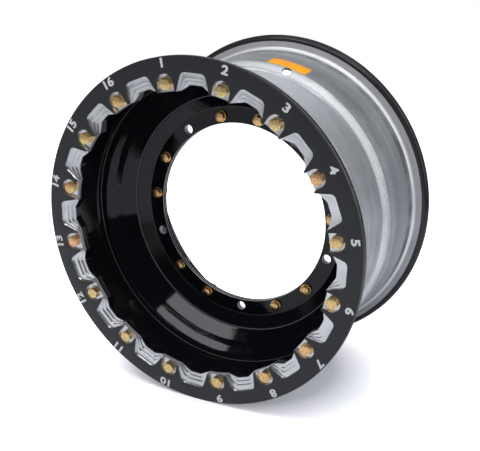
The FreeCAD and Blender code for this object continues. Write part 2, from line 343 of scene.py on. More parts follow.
glossPaint = {
    "colour": (0.0035, 0.0038, 0.0052),
    # the roller lines' paler colour is a painted highlight
    "paintedLineHighlight": (0.085, 0.087, 0.092),
    "rollerLines": ((-17.6, 0.8), (-55.2, 0.8)),
    "lineDepth": 0.0005,
    "wave": 0.00006,
    "lip": (0.019, 0.0192, 0.0205),
    "lipFromR": (199.5, 200.0),
    "roughness": (0.06, 0.17),
}


def makeGlossBlack():
    # painted over spun metal, so its mirror is a little wavy; two roller lines in the bowl are slight bumps
    # with a painted highlight in the colour
    look = glossPaint
    material, tree, shader = newMaterial("glossBlack", Specular_IOR_Level=0.4)
    lines = placeGroup(tree, turnedLines, Spacing=2.2, Waver=60.0)
    radius, along, x, z = polarCoordinates(tree)
    height = times(tree, lines["Lines"], look["wave"])
    colour = look["colour"]
    for place, halfWidth in look["rollerLines"]:
        away = mathNode(tree, "ABSOLUTE", mathNode(tree, "SUBTRACT", along, place))
        line = fadeOut(tree, away, 0, halfWidth)
        height = plus(tree, height, times(tree, line, look["lineDepth"]))
        # painted highlight along the roller line
        colour = mixColour(tree, line, colour, look["paintedLineHighlight"])
    onLip = mapRange(tree, radius, *look["lipFromR"])
    colour = mixColour(tree, onLip, colour, look["lip"])
    feed(shader, Base_Color=colour, Roughness=mapRange(tree, onLip, 0, 1, *look["roughness"]))
    bumpFrom(tree, shader, height, 1.0)
    return material


yellowZinc = {
    "gold": (0.96, 0.60, 0.20),
    "tintNoise": (26.0, 2.0, 0.5),
    "spotNoise": (640.0, 2.0, 0.6),
    "roughness": (0.13, 0.3),
    "bump": 0.0001,
}
# Its other tones: the noise that brings each in, where that starts and is full, its share, its colour
zincTones = {
    "rose": ("tintNoise", 0.5, 0.68, 1.0, (0.97, 0.48, 0.22)),
    "straw": ("tintNoise", 0.5, 0.34, 1.0, (0.90, 0.71, 0.31)),
    "shade": ("spotNoise", 0.48, 0.34, 0.55, (0.55, 0.33, 0.10)),
    # pale specks that are painted glints
    "paintedGlint": ("spotNoise", 0.51, 0.68, 1.0, (1.0, 0.90, 0.64)),
}


def makeYellowZinc():
    material, tree, shader = newMaterial("yellowZinc", Metallic=1.0)
    marks = placeGroup(tree, handled, Size=1.1)
    coords = addNode(tree, "ShaderNodeTexCoord")
    noise = {name: noiseFrom(tree, coords.outputs["Object"], *yellowZinc[name])
             for name in ("tintNoise", "spotNoise")}
    colour = yellowZinc["gold"]
    for source, start, full, share, tone in zincTones.values():
        colour = mixColour(tree, mapRange(tree, noise[source], start, full, 0.0, share), colour, tone)
    rough = mapRange(tree, marks["Specks"], 0, 1, *yellowZinc["roughness"])
    feed(shader, Base_Color=colour, Roughness=rough)
    bumpFrom(tree, shader, marks["Specks"], yellowZinc["bump"])
    return material


# The plainer materials: what each mark does to the colour, the roughness or the bump
plainMaterials = {
    "greyZinc": {"constants": {"Metallic": 1.0, "Base_Color": (0.50, 0.51, 0.53)}, "markSize": 0.3,
                 "roughness": ("Clouds", 0.26, 0.42)},
    "sealant": {"constants": {"Base_Color": (0.22, 0.225, 0.235), "Roughness": 0.45}, "markSize": 2.0,
                "bump": ("Clouds", 0.0006)},
    "lockNylon": {"constants": {"Base_Color": (0.62, 0.63, 0.60), "Roughness": 0.5}, "markSize": 0.3,
                  "bump": ("Specks", 0.00001)},
    "orangeFilm": {"constants": {"Base_Color": (0.90, 0.36, 0.006), "Roughness": 0.32}, "markSize": 1.5,
                   "colour": ("Clouds", (0.92, 0.38, 0.006), (0.82, 0.31, 0.004)),
                   "bump": ("Clouds", 0.0001)},
    "etchedSilver": {"constants": {"Metallic": 0.25, "Roughness": 0.55}, "markSize": 0.5,
                     "colour": ("Specks", (0.66, 0.665, 0.67), (0.52, 0.525, 0.53))},
}


def makePlainMaterial(name):
    values = plainMaterials[name]
    material, tree, shader = newMaterial(name, **values["constants"])
    marks = placeGroup(tree, handled, Size=values["markSize"])
    if "colour" in values:
        mark, usual, marked = values["colour"]
        feed(shader, Base_Color=mixColour(tree, marks[mark], usual, marked))
    if "roughness" in values:
        mark, low, high = values["roughness"]
        feed(shader, Roughness=mapRange(tree, marks[mark], 0, 1, low, high))
    if "bump" in values:
        mark, distance = values["bump"]
        bumpFrom(tree, shader, marks[mark], distance)
    return material


spun = makeSpunAluminium()
milled = makeMilledAluminium()
satinBlack = makeAnodisedBlack()
glossBlack = makeGlossBlack()
goldZinc = makeYellowZinc()
greyZinc, sealant, nylon, orangeFilm, etched = [makePlainMaterial(name) for name in plainMaterials]
print("materials made")


# Mesh helpers

def arcSegments(rounding):
    return 2 if rounding < 1 else 4 if rounding < 3 else 8


def roundedWire(corners, closed=False):
    # a line in the XY plane through (radius, y, rounding) corners in millimetres
    bm = bmesh.new()
    points = [Vector((r, y, 0)) * mm for r, y, _ in corners]
    verts = [bm.verts.new(point) for point in points]
    for a, b in zip(verts, verts[1:] + (verts[:1] if closed else [])):
        bm.edges.new((a, b))
    last = len(corners) - 1
    for i, (_, _, rounding) in enumerate(corners):
        if not rounding or (not closed and i in (0, last)):
            continue
        turn = (points[i] - points[i - 1]).angle(points[(i + 1) % len(points)] - points[i])
        cutBack = rounding * mm * math.tan(turn / 2)
        bmesh.ops.bevel(bm, geom=[verts[i]], offset=cutBack, offset_type="OFFSET", affect="VERTICES",
                        segments=arcSegments(rounding), profile=0.5, material=-1)
    return bm


def painted(bm, material):
    for face in bm.faces:
        face.material_index = material
    return bm


def paintByPlace(bm, indexAt):
    # gives each face the material that its radius, its y and its present material lead to
    for face in bm.faces:
        centre = face.calc_center_median() / mm
        face.material_index = indexAt(math.hypot(centre.x, centre.z), centre.y, face.material_index)


def moved(bm, x=0.0, y=0.0):
    bmesh.ops.translate(bm, verts=bm.verts, vec=(x * mm, y * mm, 0))
    return bm


def turned(bm, degrees, axis):
    bmesh.ops.rotate(bm, verts=bm.verts, matrix=Matrix.Rotation(math.radians(degrees), 3, axis))
    return bm


def spinWire(bm, degrees=360, steps=None, startAt=0, material=0):
    # turns the line about the axle, from +X towards +Z
    turned(bm, -startAt, "Y")
    bmesh.ops.spin(bm, geom=bm.verts[:] + bm.edges[:], cent=(0, 0, 0), axis=(0, -1, 0),
                   angle=math.radians(degrees), steps=steps or turnSteps, use_merge=degrees == 360,
                   use_duplicate=False)
    return painted(bm, material)


def toMesh(bm, name, materials=(), weld=0.0, turnOut=True):
    if weld:
        bmesh.ops.remove_doubles(bm, verts=bm.verts, dist=weld * mm)
    if turnOut:
        bmesh.ops.recalc_face_normals(bm, faces=bm.faces)
    mesh = bpy.data.meshes.new(name)
    bm.to_mesh(mesh)
    bm.free()
    for material in materials:
        mesh.materials.append(material)
    return mesh


def addMesh(whole, mesh):
    # adds a mesh, which is then removed, to a bmesh
    whole.from_mesh(mesh)
    bpy.data.meshes.remove(mesh)
    return whole


def gathered(parts):
    # one bmesh from several, which are freed
    whole = bmesh.new()
    for part in parts:
        mesh = bpy.data.meshes.new("part")
        part.to_mesh(mesh)
        part.free()
        addMesh(whole, mesh)
    return whole


def atAngles(template, angles, turns=None):
    # copies of a bmesh drawn at +X, turned about the axle to each angle
    copies = []
    for i, angle in enumerate(angles):
        copy = template.copy()
        place = Matrix.Rotation(math.radians(-angle), 4, "Y")
        if turns:
            centre = Matrix.Translation(turns["centre"])
            spinSelf = Matrix.Rotation(math.radians(turns["degrees"][i]), 4, "Y")
            place = place @ centre @ spinSelf @ centre.inverted()
        bmesh.ops.transform(copy, matrix=place, verts=copy.verts)
        copies.append(copy)
    template.free()
    return gathered(copies)


def addObject(name, mesh):
    piece = bpy.data.objects.new(name, mesh)
    scene.collection.objects.link(piece)
    return piece


def cutWith(mesh, cutters, operation="DIFFERENCE"):
    # the mesh after each cutter mesh has been taken away from it, or else what they share
    base = addObject("base", mesh)
    helpers = []
    for cutter in cutters:
        helper = addObject("cutter", cutter)
        helpers.append(helper)
        boolean = base.modifiers.new("cut", "BOOLEAN")
        boolean.object = helper
        boolean.operation = operation
        boolean.solver = "EXACT"
    depsgraph = bpy.context.evaluated_depsgraph_get()
    result = bpy.data.meshes.new_from_object(base.evaluated_get(depsgraph))
    for helper in [base] + helpers:
        old = helper.data
        bpy.data.objects.remove(helper)
        bpy.data.meshes.remove(old)
    return result


def prism(corners, fromY, toY, material=0, rootFillet=0.0):
    # corners (across, out, rounding) drawn at +X, standing along the axle; the far end may be rounded
    bm = roundedWire([(out, across, rounding) for across, out, rounding in corners], closed=True)
    moved(turned(bm, 90, "X"), 0, fromY)
    bmesh.ops.edgenet_fill(bm, edges=bm.edges)
    grown = bmesh.ops.extrude_face_region(bm, geom=bm.faces[:])
    bmesh.ops.translate(bm, verts=[g for g in grown["geom"] if isinstance(g, bmesh.types.BMVert)],
                        vec=(0, (toY - fromY) * mm, 0))
    bmesh.ops.recalc_face_normals(bm, faces=bm.faces)
    if rootFillet:
        farEdges = [e for e in bm.edges if all(abs(v.co.y - toY * mm) < 1e-7 for v in e.verts)]
        bmesh.ops.bevel(bm, geom=farEdges, offset=rootFillet * mm, offset_type="OFFSET", affect="EDGES",
                        segments=3, profile=0.5, material=-1)
    return painted(bm, material)


def rod(radius, fromY, toY, atR, segments=32, material=0):
    bm = bmesh.new()
    bmesh.ops.create_cone(bm, cap_ends=True, segments=segments, radius1=radius * mm, radius2=radius * mm,
                          depth=(toY - fromY) * mm)
    return painted(moved(turned(bm, 90, "X"), atR, (fromY + toY) / 2), material)


def finishPiece(name, mesh, shownFor, bevel=0.0, segments=2):
    # smooth where it bends softly, sharp or finely bevelled at its edges
    piece = addObject(name, mesh)
    mesh.shade_smooth()
    mesh.set_sharp_from_angle(angle=math.radians(wheel["sharpAngle"]))
    if bevel:
        modifier = piece.modifiers.new("brokenEdges", "BEVEL")
        modifier.width = bevel * mm
        modifier.segments = segments
        modifier.limit_method = "ANGLE"
        modifier.angle_limit = math.radians(wheel["sharpAngle"])
        modifier.harden_normals = True
    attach(piece, "root")
    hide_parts(*shownFor)


def sheetSides(path, wall):
    # both sides of a bent sheet; the second lies one wall to the left of the first
    directions = [(Vector(b[:2]) - Vector(a[:2])).normalized() for a, b in zip(path, path[1:])]
    near, far = [], []
    for i, (r, y, bend) in enumerate(path):
        coming = directions[max(i - 1, 0)]
        going = directions[min(i, len(directions) - 1)]
        left = Vector((-going.y, going.x))
        mitre = (Vector((-coming.y, coming.x)) + left).normalized()
        offset = mitre * (wall / mitre.dot(left))
        turn = coming.cross(going)
        near.append((r, y, bend + wall if turn > 0 else bend))
        far.append((r + offset.x, y + offset.y, bend + wall if turn < 0 else bend))
    return near, far


# Beadlock ring: one bolt's share of the ring is cut, then repeated round the wheel

ring = {
    "backEdge": 1.5,
    "pilotR": 189.5,
    "grips": 3,
    "gripPitch": 3.0,
    "gripDepth": 0.7,
    "tabTipWidth": 25.5,
    "tabRootWidth": 44.6,
    "notchR": 187.5,
    "notchCorner": 6.0,
    "firstStep": 6.2,
    "firstDrop": 3.2,
    "step": 3.9,
    "stepDrop": 2.25,
    "steps": 3,
    "sideStepRoot": 2.4,
    "sideStepTip": 1.0,
    "pocketR": 10.3,
    "pocketDepth": 4.4,
    "boltHoleR": 4.1,
    "rootFillet": 0.45,
    "paintMargin": 0.1,
    "brokenEdge": 0.25,
}
margin = 3.0


def notchOutline(topR, level):
    tipPitch = 2 * math.pi * wheel["tabR"] / wheel["boltCount"]
    rootPitch = 2 * math.pi * ring["notchR"] / wheel["boltCount"]
    tip = (tipPitch - ring["tabTipWidth"]) / 2 - level * ring["sideStepTip"]
    root = (rootPitch - ring["tabRootWidth"]) / 2 - level * ring["sideStepRoot"]
    flare = (tip - root) / (topR - wheel["tabR"])
    low = tip + flare * margin
    return [(-low, wheel["tabR"] - margin, 0), (low, wheel["tabR"] - margin, 0),
            (root, topR, ring["notchCorner"]), (-root, topR, ring["notchCorner"])]


def gripCorners(y, sign, fromR, toR):
    first = (fromR + toR) / 2 - (ring["grips"] - 1) / 2 * ring["gripPitch"]
    corners = []
    for i in range(ring["grips"]):
        r = first + i * ring["gripPitch"]
        corners += [(r - ring["gripDepth"], y, 0), (r, y + sign * ring["gripDepth"], 0),
                    (r + ring["gripDepth"], y, 0)]
    return corners


def innerNotchR():
    return ring["notchR"] - ring["firstStep"] - (ring["steps"] - 1) * ring["step"]


def notchPair(outline, fromY, toY, rootFillet=0.0):
    sides = (-pitch / 2, pitch / 2)
    return toMesh(atAngles(prism(outline, fromY, toY, 1, rootFillet), sides), "notches")


def pitchSolid(section):
    # one bolt's share of a turned section, closed at both ends
    bm = roundedWire(section, closed=True)
    spinWire(bm, pitch, wheel["stepsPerPitch"], -pitch / 2)
    bmesh.ops.holes_fill(bm, edges=[e for e in bm.edges if e.is_boundary], sides=0)
    return bm


def repeated(mesh, isOpen):
    # drops the faces that only closed the share, then copies it to every bolt and joins the seams
    bm = addMesh(bmesh.new(), mesh)
    bmesh.ops.delete(bm, geom=[f for f in bm.faces if isOpen(f)], context="FACES")
    whole = atAngles(bm, boltAngles)
    bmesh.ops.remove_doubles(whole, verts=whole.verts, dist=wheel["weld"] * mm)
    return whole


def onSeam(face):
    side = math.radians(pitch / 2)
    angles = [math.atan2(v.co.z, v.co.x) for v in face.verts]
    return all(abs(a - side) < 1e-4 for a in angles) or all(abs(a + side) < 1e-4 for a in angles)


def makeRing():
    front, back, edge = wheel["ringFront"], wheel["ringBack"], wheel["edge"]
    grips = gripCorners(back, -1, ring["pilotR"], wheel["ringR"])[::-1]
    section = [(wheel["tabR"], front, 0), (wheel["ringR"], front, edge),
               (wheel["ringR"], back, ring["backEdge"])]
    body = pitchSolid(section + grips + [(wheel["tabR"], back, 0)])
    bareBack = ring["backEdge"] - ring["paintMargin"]
    tabEndR, rimEndR = wheel["tabR"] + ring["paintMargin"], wheel["ringR"] - bareBack
    paintByPlace(body, lambda r, y, old: 2 if r < tabEndR
                 else 1 if r > rimEndR and y > back - bareBack else 0)
    cutters = []
    topR, depth = ring["notchR"], ring["firstDrop"]
    for level in range(ring["steps"]):
        outline = notchOutline(topR, level)
        cutters.append(notchPair(outline, front - margin, front + depth, ring["rootFillet"]))
        topR -= ring["firstStep"] if level == 0 else ring["step"]
        depth += ring["stepDrop"]
    cutters.append(notchPair(notchOutline(topR, ring["steps"]), front - margin, back + margin))
    width, top = ring["pocketR"], wheel["boltCircleR"] + ring["pocketR"]
    nearlyRound = width * 0.999
    pocket = [(-width, wheel["tabR"] - margin, 0), (width, wheel["tabR"] - margin, 0),
              (width, top, nearlyRound), (-width, top, nearlyRound)]
    pocket = prism(pocket, front - margin, front + ring["pocketDepth"], 1, ring["rootFillet"])
    hole = rod(ring["boltHoleR"], front, back + margin, wheel["boltCircleR"], material=1)
    cutters += [toMesh(pocket, "pocket"), toMesh(hole, "hole")]
    materials = [satinBlack, milled, spun]
    share = cutWith(toMesh(body, "share", materials), cutters)
    mesh = toMesh(repeated(share, onSeam), "beadlockRing", materials)
    finishPiece("clampRing", mesh, ["beadlock_ring"], ring["brokenEdge"])


makeRing()
print("ring made")


# Front shell: a turned bowl, welded to a pad and rim that repeat with the bolts

frontShell = {
    "flangeEdgeR": 135.0,
    "floorRun": 15.5,
    "floorRise": 10.5,
    "barrelR": 180.0,
    "barrelStart": 54.2,
    "stepAt": 0.427,
    "stepShare": 0.17,
    "stepLean": 1.2,
    "bends": (3.0, 12.0, 16.0, 29.0),
    "padBack": -100.4,
    "shelf": -104.7,
    "rimR": 201.8,
    "relief": 2.0,
    "seamBack": 2.0,
    "rawFrom": 1.6,
    "rawInset": 1.0,
    "rawBehindShelf": 1.5,
    "blackBelowR": 176.5,
    "boreEdge": 0.5,
    "socketR": 5.55,
    "socketDepth": 9.5,
    "brokenEdge": 0.2,
}


def flangeHoles(fromY, toY):
    # the open hub holes and the holes of the bolts that join the shells
    hub = rod(wheel["hubHoleR"], fromY, toY, wheel["hubCircleR"], 32, 1)
    bolts = rod(wheel["shellBoltHoleR"], fromY, toY, wheel["hubCircleR"], 24, 1)
    return toMesh(gathered([atAngles(hub, hubHoleAngles), atAngles(bolts, shellBoltAngles)]), "flangeHoles")


def bareBoreEdges(shell, boreR, boreEdge, middleY):
    # the broken edges of the bore are raw metal
    nearly = boreEdge * 0.9
    paintByPlace(shell, lambda r, y, old: 1 if r < boreR + nearly
                 and abs(y - middleY) > wheel["wall"] / 2 - nearly else old)


def makeFrontShell():
    shape = frontShell
    wall, edge = wheel["wall"], wheel["edge"]
    boreR, boreEdge = wheel["boreR"], shape["boreEdge"]
    front = -2 * wall
    padBack = shape["padBack"]
    seamY = padBack + shape["seamBack"] + wall
    barrelR = shape["barrelR"]
    floorR = shape["flangeEdgeR"] + shape["floorRun"]
    floorY = front - shape["floorRise"]
    run = barrelR - floorR
    stretch = 1 + shape["stepShare"] * (shape["stepLean"] - 1)
    slope = (floorY + shape["barrelStart"]) / run / stretch
    stepRun = shape["stepShare"] * run
    stepRise = stepRun * slope * shape["stepLean"]
    stepR = floorR + shape["stepAt"] * run
    stepY = floorY - (stepR - floorR) * slope
    bends = shape["bends"]
    path = [(boreR, front, 0), (shape["flangeEdgeR"], front, bends[0]), (floorR, floorY, bends[1]),
            (stepR, stepY, bends[2]), (stepR + stepRun, stepY - stepRise, bends[2]),
            (barrelR, -shape["barrelStart"], bends[3]), (barrelR, seamY, 0)]
    bowl, tyreSide = sheetSides(path, wall)
    bowl[0] = (boreR + boreEdge, front, 0)
    tyreSide[0] = (boreR + boreEdge, -wall, 0)
    bore = [bowl[0], (boreR, front + boreEdge, 0), (boreR, -wall - boreEdge, 0), tyreSide[0]]
    shell = gathered(spinWire(roundedWire(side), startAt=wheel["boltAngle"] - pitch / 2, material=material)
                     for side, material in ((bowl, 0), (tyreSide, 1), (bore, 0)))
    bareBoreEdges(shell, boreR, boreEdge, -1.5 * wall)

    tabR, ringBack, rimR = wheel["tabR"], wheel["ringBack"], shape["rimR"]
    rawR = rimR - shape["rawFrom"]
    pilotR, shelf = ring["pilotR"], shape["shelf"]
    section = [(barrelR, seamY, 0), (barrelR, padBack, edge), (tabR, padBack, edge), (tabR, ringBack, 0),
               (pilotR, ringBack, edge), (pilotR, shelf, edge)]
    section += gripCorners(shelf, 1, pilotR, rimR)
    section += [(rimR, shelf, edge), (rimR, padBack, edge), (rawR, padBack, 0),
                (barrelR + wall, padBack, wall), (barrelR + wall, seamY, 0)]
    pad = pitchSolid(section)
    rawStartR, rawStartY = barrelR + shape["rawInset"], shelf + shape["rawBehindShelf"]
    paintByPlace(pad, lambda r, y, old: 1 if rawStartR < r < rawR and y > rawStartY else 0)
    reliefR = innerNotchR() + shape["relief"]
    scallop = notchPair(notchOutline(reliefR, ring["steps"]), ringBack - margin, padBack + margin)
    socket = rod(shape["socketR"], ringBack - margin, ringBack + shape["socketDepth"],
                 wheel["boltCircleR"], material=1)
    share = cutWith(toMesh(pad, "padShare", [glossBlack, spun]), [scallop, toMesh(socket, "socket")])
    radii = [math.hypot(vertex.co.x, vertex.co.z) / mm for vertex in share.vertices]
    for polygon in share.polygons:
        if min(radii[v] for v in polygon.vertices) < shape["blackBelowR"]:
            polygon.material_index = 0
    pads = repeated(share, lambda f: onSeam(f) or all(abs(v.co.y / mm - seamY) < 0.01 for v in f.verts))
    mesh = toMesh(gathered([shell, pads]), "frontShell", [glossBlack, spun], wheel["weld"])
    mesh = cutWith(mesh, [flangeHoles(front - margin, margin)])
    finishPiece("frontShell", mesh, ["outer_half", "base_ring"], shape["brokenEdge"])


makeFrontShell()
print("front shell made")


# Rear shell

rearShell = {
    "flangeEdgeR": 140.0,
    "slopeStart": (176.5, 16.3),
    "slopeEnd": (184.5, 25.3),
    "seatEnd": (190.1, 97.0),
    "rimCorner": (207.4, 101.5),
    "lipLength": 7.0,
    "bends": (4.4, 6.4, 1.4, 6.5, 3.4),
    "blackFromR": 200.2,
    "boreEdge": 0.5,
    "valveR": 5.75,
    "valveAngle": 74.6,
    "valveUpSlope": 1.2,
    "brokenEdge": 0.2,
}


def makeRearShell():
    shape = rearShell
    wall, bends = wheel["wall"], shape["bends"]
    boreR, boreEdge = wheel["boreR"], shape["boreEdge"]
    (cornerR, cornerY), (seatR, seatY) = shape["rimCorner"], shape["seatEnd"]
    path = [(boreR, -wall, 0), (shape["flangeEdgeR"], -wall, bends[0]),
            (*shape["slopeStart"], bends[1]), (*shape["slopeEnd"], bends[2]),
            (seatR, seatY, bends[3]), (cornerR, cornerY, bends[4]),
            (cornerR, cornerY + shape["lipLength"], 0)]
    tyreSide, inside = sheetSides(path, wall)
    tyreSide[0] = (boreR + boreEdge, -wall, 0)
    inside[0] = (boreR + boreEdge, 0, 0)
    share = (shape["blackFromR"] - seatR) / (cornerR - seatR)
    blackStart = (shape["blackFromR"], seatY + share * (cornerY - seatY), 0)
    raw = tyreSide[:5] + [blackStart]
    lip = [blackStart] + tyreSide[5:6]
    lip += [(*tyreSide[6][:2], wheel["edge"]), (*inside[6][:2], wheel["edge"])] + inside[5::-1]
    bore = [tyreSide[0], (boreR, -wall + boreEdge, 0), (boreR, -boreEdge, 0), inside[0]]
    shell = gathered(spinWire(roundedWire(side), material=material)
                     for side, material in ((raw, 1), (lip, 0), (bore, 0)))
    bareBoreEdges(shell, boreR, boreEdge, -wall / 2)
    mesh = toMesh(shell, "rearShell", [glossBlack, spun], wheel["weld"])
    valve = rod(shape["valveR"], -wall - margin, wall + margin, 0, 40, 1)
    slope = Vector(shape["slopeEnd"]) - Vector(shape["slopeStart"])
    middle = (Vector(shape["slopeEnd"]) + Vector(shape["slopeStart"])) / 2
    middle += slope.normalized() * shape["valveUpSlope"]
    moved(turned(valve, math.degrees(math.atan2(slope.y, slope.x)), "Z"), middle.x, middle.y)
    valve = toMesh(atAngles(valve, [shape["valveAngle"]]), "valveHole")
    mesh = cutWith(mesh, [flangeHoles(-2 * wall - margin, margin), valve])
    finishPiece("rearShell", mesh, ["inner_half"], shape["brokenEdge"])


makeRearShell()
print("rear shell made")


# Fasteners

beadBolt = {"shankR": 3.95, "flats": 12.7, "headH": 5.6, "collarR": 6.1, "collarH": 0.4, "reach": 9.0}
shellBolt = {"shankR": 3.15, "flats": 11.1, "headH": 4.3, "collarR": 5.4, "collarH": 0.4}
fastener = {
    "headTop": 0.48,
    "bevelRun": 1.732,
    "overlap": 0.1,
    "spare": 0.5,
    "collarEdge": 0.45,
    "collarRound": 0.2,
    "marks": 6,
    "markSize": (2.2, 0.25, 0.45),
    "markInset": 0.75,
    "threadPitch": 1.0,
    "threadDepth": 0.35,
    "washerR": 7.1,
    "washerT": 1.2,
    "washerHoleR": 3.3,
    "washerRounds": (0.15, 0.3),
    "nutHexH": 5.2,
    "nutCollarH": 1.8,
    "nutCollarR": 5.0,
    "nutRounds": (0.2, 0.6),
    "headEdge": 0.12,
    "nutEdge": 0.1,
    "threadGap": 0.05,
    "insertT": 0.9,
    "insertInset": 0.35,
    "tail": 2.0,
    "facets": {"thread": 20, "nutCollar": 36, "washer": 40, "cone": 48},
}
facets = fastener["facets"]


def turnedAt(corners, atR, segments):
    # a solid turned from a line that starts and ends on its own axis
    bm = spinWire(roundedWire(corners), 360, segments)
    bmesh.ops.remove_doubles(bm, verts=bm.verts, dist=1e-6)
    bmesh.ops.recalc_face_normals(bm, faces=bm.faces)
    return moved(bm, atR)


def collarAt(corners, atR, segments, material=0):
    # a ring whose section is a closed line
    return moved(spinWire(roundedWire(corners, closed=True), 360, segments, material=material), atR)


def hexagonBar(flats, fromY, toY, atR):
    return rod(flats / math.sqrt(3), fromY, toY, atR, 6)


def threadedRod(radius, fromY, toY, atR):
    # plain at the start, threaded towards its tip, which is bevelled
    depth, gap = fastener["threadDepth"], fastener["threadPitch"]
    corners = [(0, fromY, 0), (radius, fromY, 0)]
    y = fromY + 2 * gap
    while y < toY - gap:
        corners += [(radius, y, 0), (radius - depth, y + gap / 2, 0)]
        y += gap
    corners += [(radius, y, 0), (radius - 2 * depth, toY, 0), (0, toY, 0)]
    return turnedAt(corners, atR, facets["thread"])


def hexBolt(size, seat, tip, atR):
    collarR, collarFront, overlap = size["collarR"], seat - size["collarH"], fastener["overlap"]
    headFront = collarFront - size["headH"]
    topR = size["flats"] * fastener["headTop"]
    spread = topR + size["headH"] * fastener["bevelRun"]
    cone = turnedAt([(0, headFront, 0), (topR, headFront, 0), (spread, collarFront + overlap, 0),
                     (0, collarFront + overlap, 0)], atR, facets["cone"])
    bar = hexagonBar(size["flats"], headFront - fastener["spare"], collarFront + overlap / 2, atR)
    head = addMesh(bmesh.new(), cutWith(toMesh(bar, "bar"), [toMesh(cone, "cone")], "INTERSECT"))
    collarEdge = (collarR, seat - fastener["collarEdge"] * size["collarH"], fastener["collarRound"])
    collar = turnedAt([(0, seat, 0), (collarR, seat, 0), collarEdge, (size["flats"] / 2, collarFront, 0),
                       (0, collarFront, 0)], atR, facets["washer"])
    parts = [head, collar, threadedRod(size["shankR"], seat - 2 * overlap, tip, atR)]
    length, thickness, width = fastener["markSize"]
    turn = 360 / fastener["marks"]
    for i in range(fastener["marks"]):
        mark = bmesh.new()
        bmesh.ops.create_cube(mark, size=mm)
        bmesh.ops.scale(mark, verts=mark.verts, vec=(length, thickness, width))
        turned(moved(mark, topR - length * fastener["markInset"]), turn * (i + 0.5), "Y")
        parts.append(moved(mark, atR, headFront))
    return gathered(parts)


def spannerTurns(count, start, atR):
    # each head stops where the spanner left it
    degrees = [(start + 37 * i * i + 11 * i) % 60 for i in range(count)]
    return {"centre": (atR * mm, 0, 0), "degrees": degrees}


def makeBolts(name, node, size, seat, tip, atR, angles, start):
    bolts = atAngles(hexBolt(size, seat, tip, atR), angles, spannerTurns(len(angles), start, atR))
    finishPiece(name, toMesh(bolts, name, [goldZinc]), [node], fastener["headEdge"], 1)


def makeWashers(name, node, front, material):
    outer, hole, back = fastener["washerR"], fastener["washerHoleR"], front + fastener["washerT"]
    small, large = fastener["washerRounds"]
    corners = [(hole, front, small), (outer, front, large), (outer, back, small), (hole, back, small)]
    washer = collarAt(corners, wheel["hubCircleR"], facets["washer"])
    finishPiece(name, toMesh(atAngles(washer, shellBoltAngles), name, [material]), [node])


def makeLockNuts():
    washerT, hexH = fastener["washerT"], fastener["nutHexH"]
    hexEnd = washerT + hexH
    end = hexEnd + fastener["nutCollarH"]
    flats, atR = shellBolt["flats"], wheel["hubCircleR"]
    threadR = shellBolt["shankR"] + fastener["threadGap"]
    insertR, insertEnd = threadR + fastener["insertT"], end - fastener["insertInset"]
    spare, (small, large) = fastener["spare"], fastener["nutRounds"]
    topR = flats * fastener["headTop"]
    run = hexH / 2 * fastener["bevelRun"]
    cone = turnedAt([(0, washerT, 0), (topR, washerT, 0), (topR + run, washerT + hexH / 2, 0),
                     (topR, hexEnd, 0), (0, hexEnd, 0)], atR, facets["cone"])
    bar = toMesh(hexagonBar(flats, washerT - spare, hexEnd + spare, atR), "nutBar")
    body = cutWith(bar, [toMesh(cone, "nutCone")], "INTERSECT")
    thread = rod(threadR, washerT - 2 * spare, hexEnd + 2 * spare, atR)
    body = addMesh(bmesh.new(), cutWith(body, [toMesh(thread, "nutThread")]))
    collarR, collarStart = fastener["nutCollarR"], hexEnd - 2 * fastener["overlap"]
    collar = collarAt([(insertR, collarStart, 0), (collarR, collarStart, 0), (collarR, end, large),
                       (insertR, end - small, small)], atR, facets["nutCollar"])
    insert = collarAt([(threadR, hexEnd, 0), (insertR, hexEnd, 0), (insertR, insertEnd, 0),
                       (threadR, insertEnd, small)], atR, facets["nutCollar"], 1)
    turns = spannerTurns(len(shellBoltAngles), 22, atR)
    nuts = atAngles(gathered([body, collar, insert]), shellBoltAngles, turns)
    mesh = toMesh(nuts, "lockNuts", [greyZinc, nylon])
    finishPiece("lockNuts", mesh, ["lock_nuts"], fastener["nutEdge"], 1)


pocketFloor = wheel["ringFront"] + ring["pocketDepth"]
makeBolts("ringBolts", "beadlock_bolts", beadBolt, pocketFloor, wheel["ringBack"] + beadBolt["reach"],
          wheel["boltCircleR"], boltAngles, 8)
flangeFront = -2 * wheel["wall"]
boltTip = fastener["washerT"] + fastener["nutHexH"] + fastener["nutCollarH"] + fastener["tail"]
makeBolts("hubFlangeBolts", "shell_bolts", shellBolt, flangeFront - fastener["washerT"], boltTip,
          wheel["hubCircleR"], shellBoltAngles, 31)
makeWashers("headWashers", "front_washers", flangeFront - fastener["washerT"], goldZinc)
makeWashers("nutWashers", "rear_washers", 0, greyZinc)
makeLockNuts()
print("fasteners made")


# Pieces that keep their solid shape
for node, material in (("beadlock_inserts", greyZinc), ("joint_seal", sealant)):
    nodes[node].data.materials.clear()
    nodes[node].data.materials.append(material)


# Plain bolt numbers on the ring's face, in the order that they go round
boltNumbers = {
    "middleR": 197.6,
    "height": 9.6,
    "sizeForHeight": 1.38,
    "stretch": 1.25,
    "strokeGrowth": 0.5,
    "thickness": 0.06,
}


def axesAt(place, right, up, back):
    matrix = Matrix((right, up, back)).transposed().to_4x4()
    matrix.translation = place
    return matrix


def onRingFace(angle, r):
    # upright towards the rim, facing the front
    a = math.radians(angle)
    out = Vector((math.cos(a), 0, math.sin(a)))
    across = Vector((math.sin(a), 0, -math.cos(a)))
    place = out * r * mm + Vector((0, wheel["ringFront"] * mm, 0))
    return axesAt(place, across, out, Vector((0, -1, 0)))


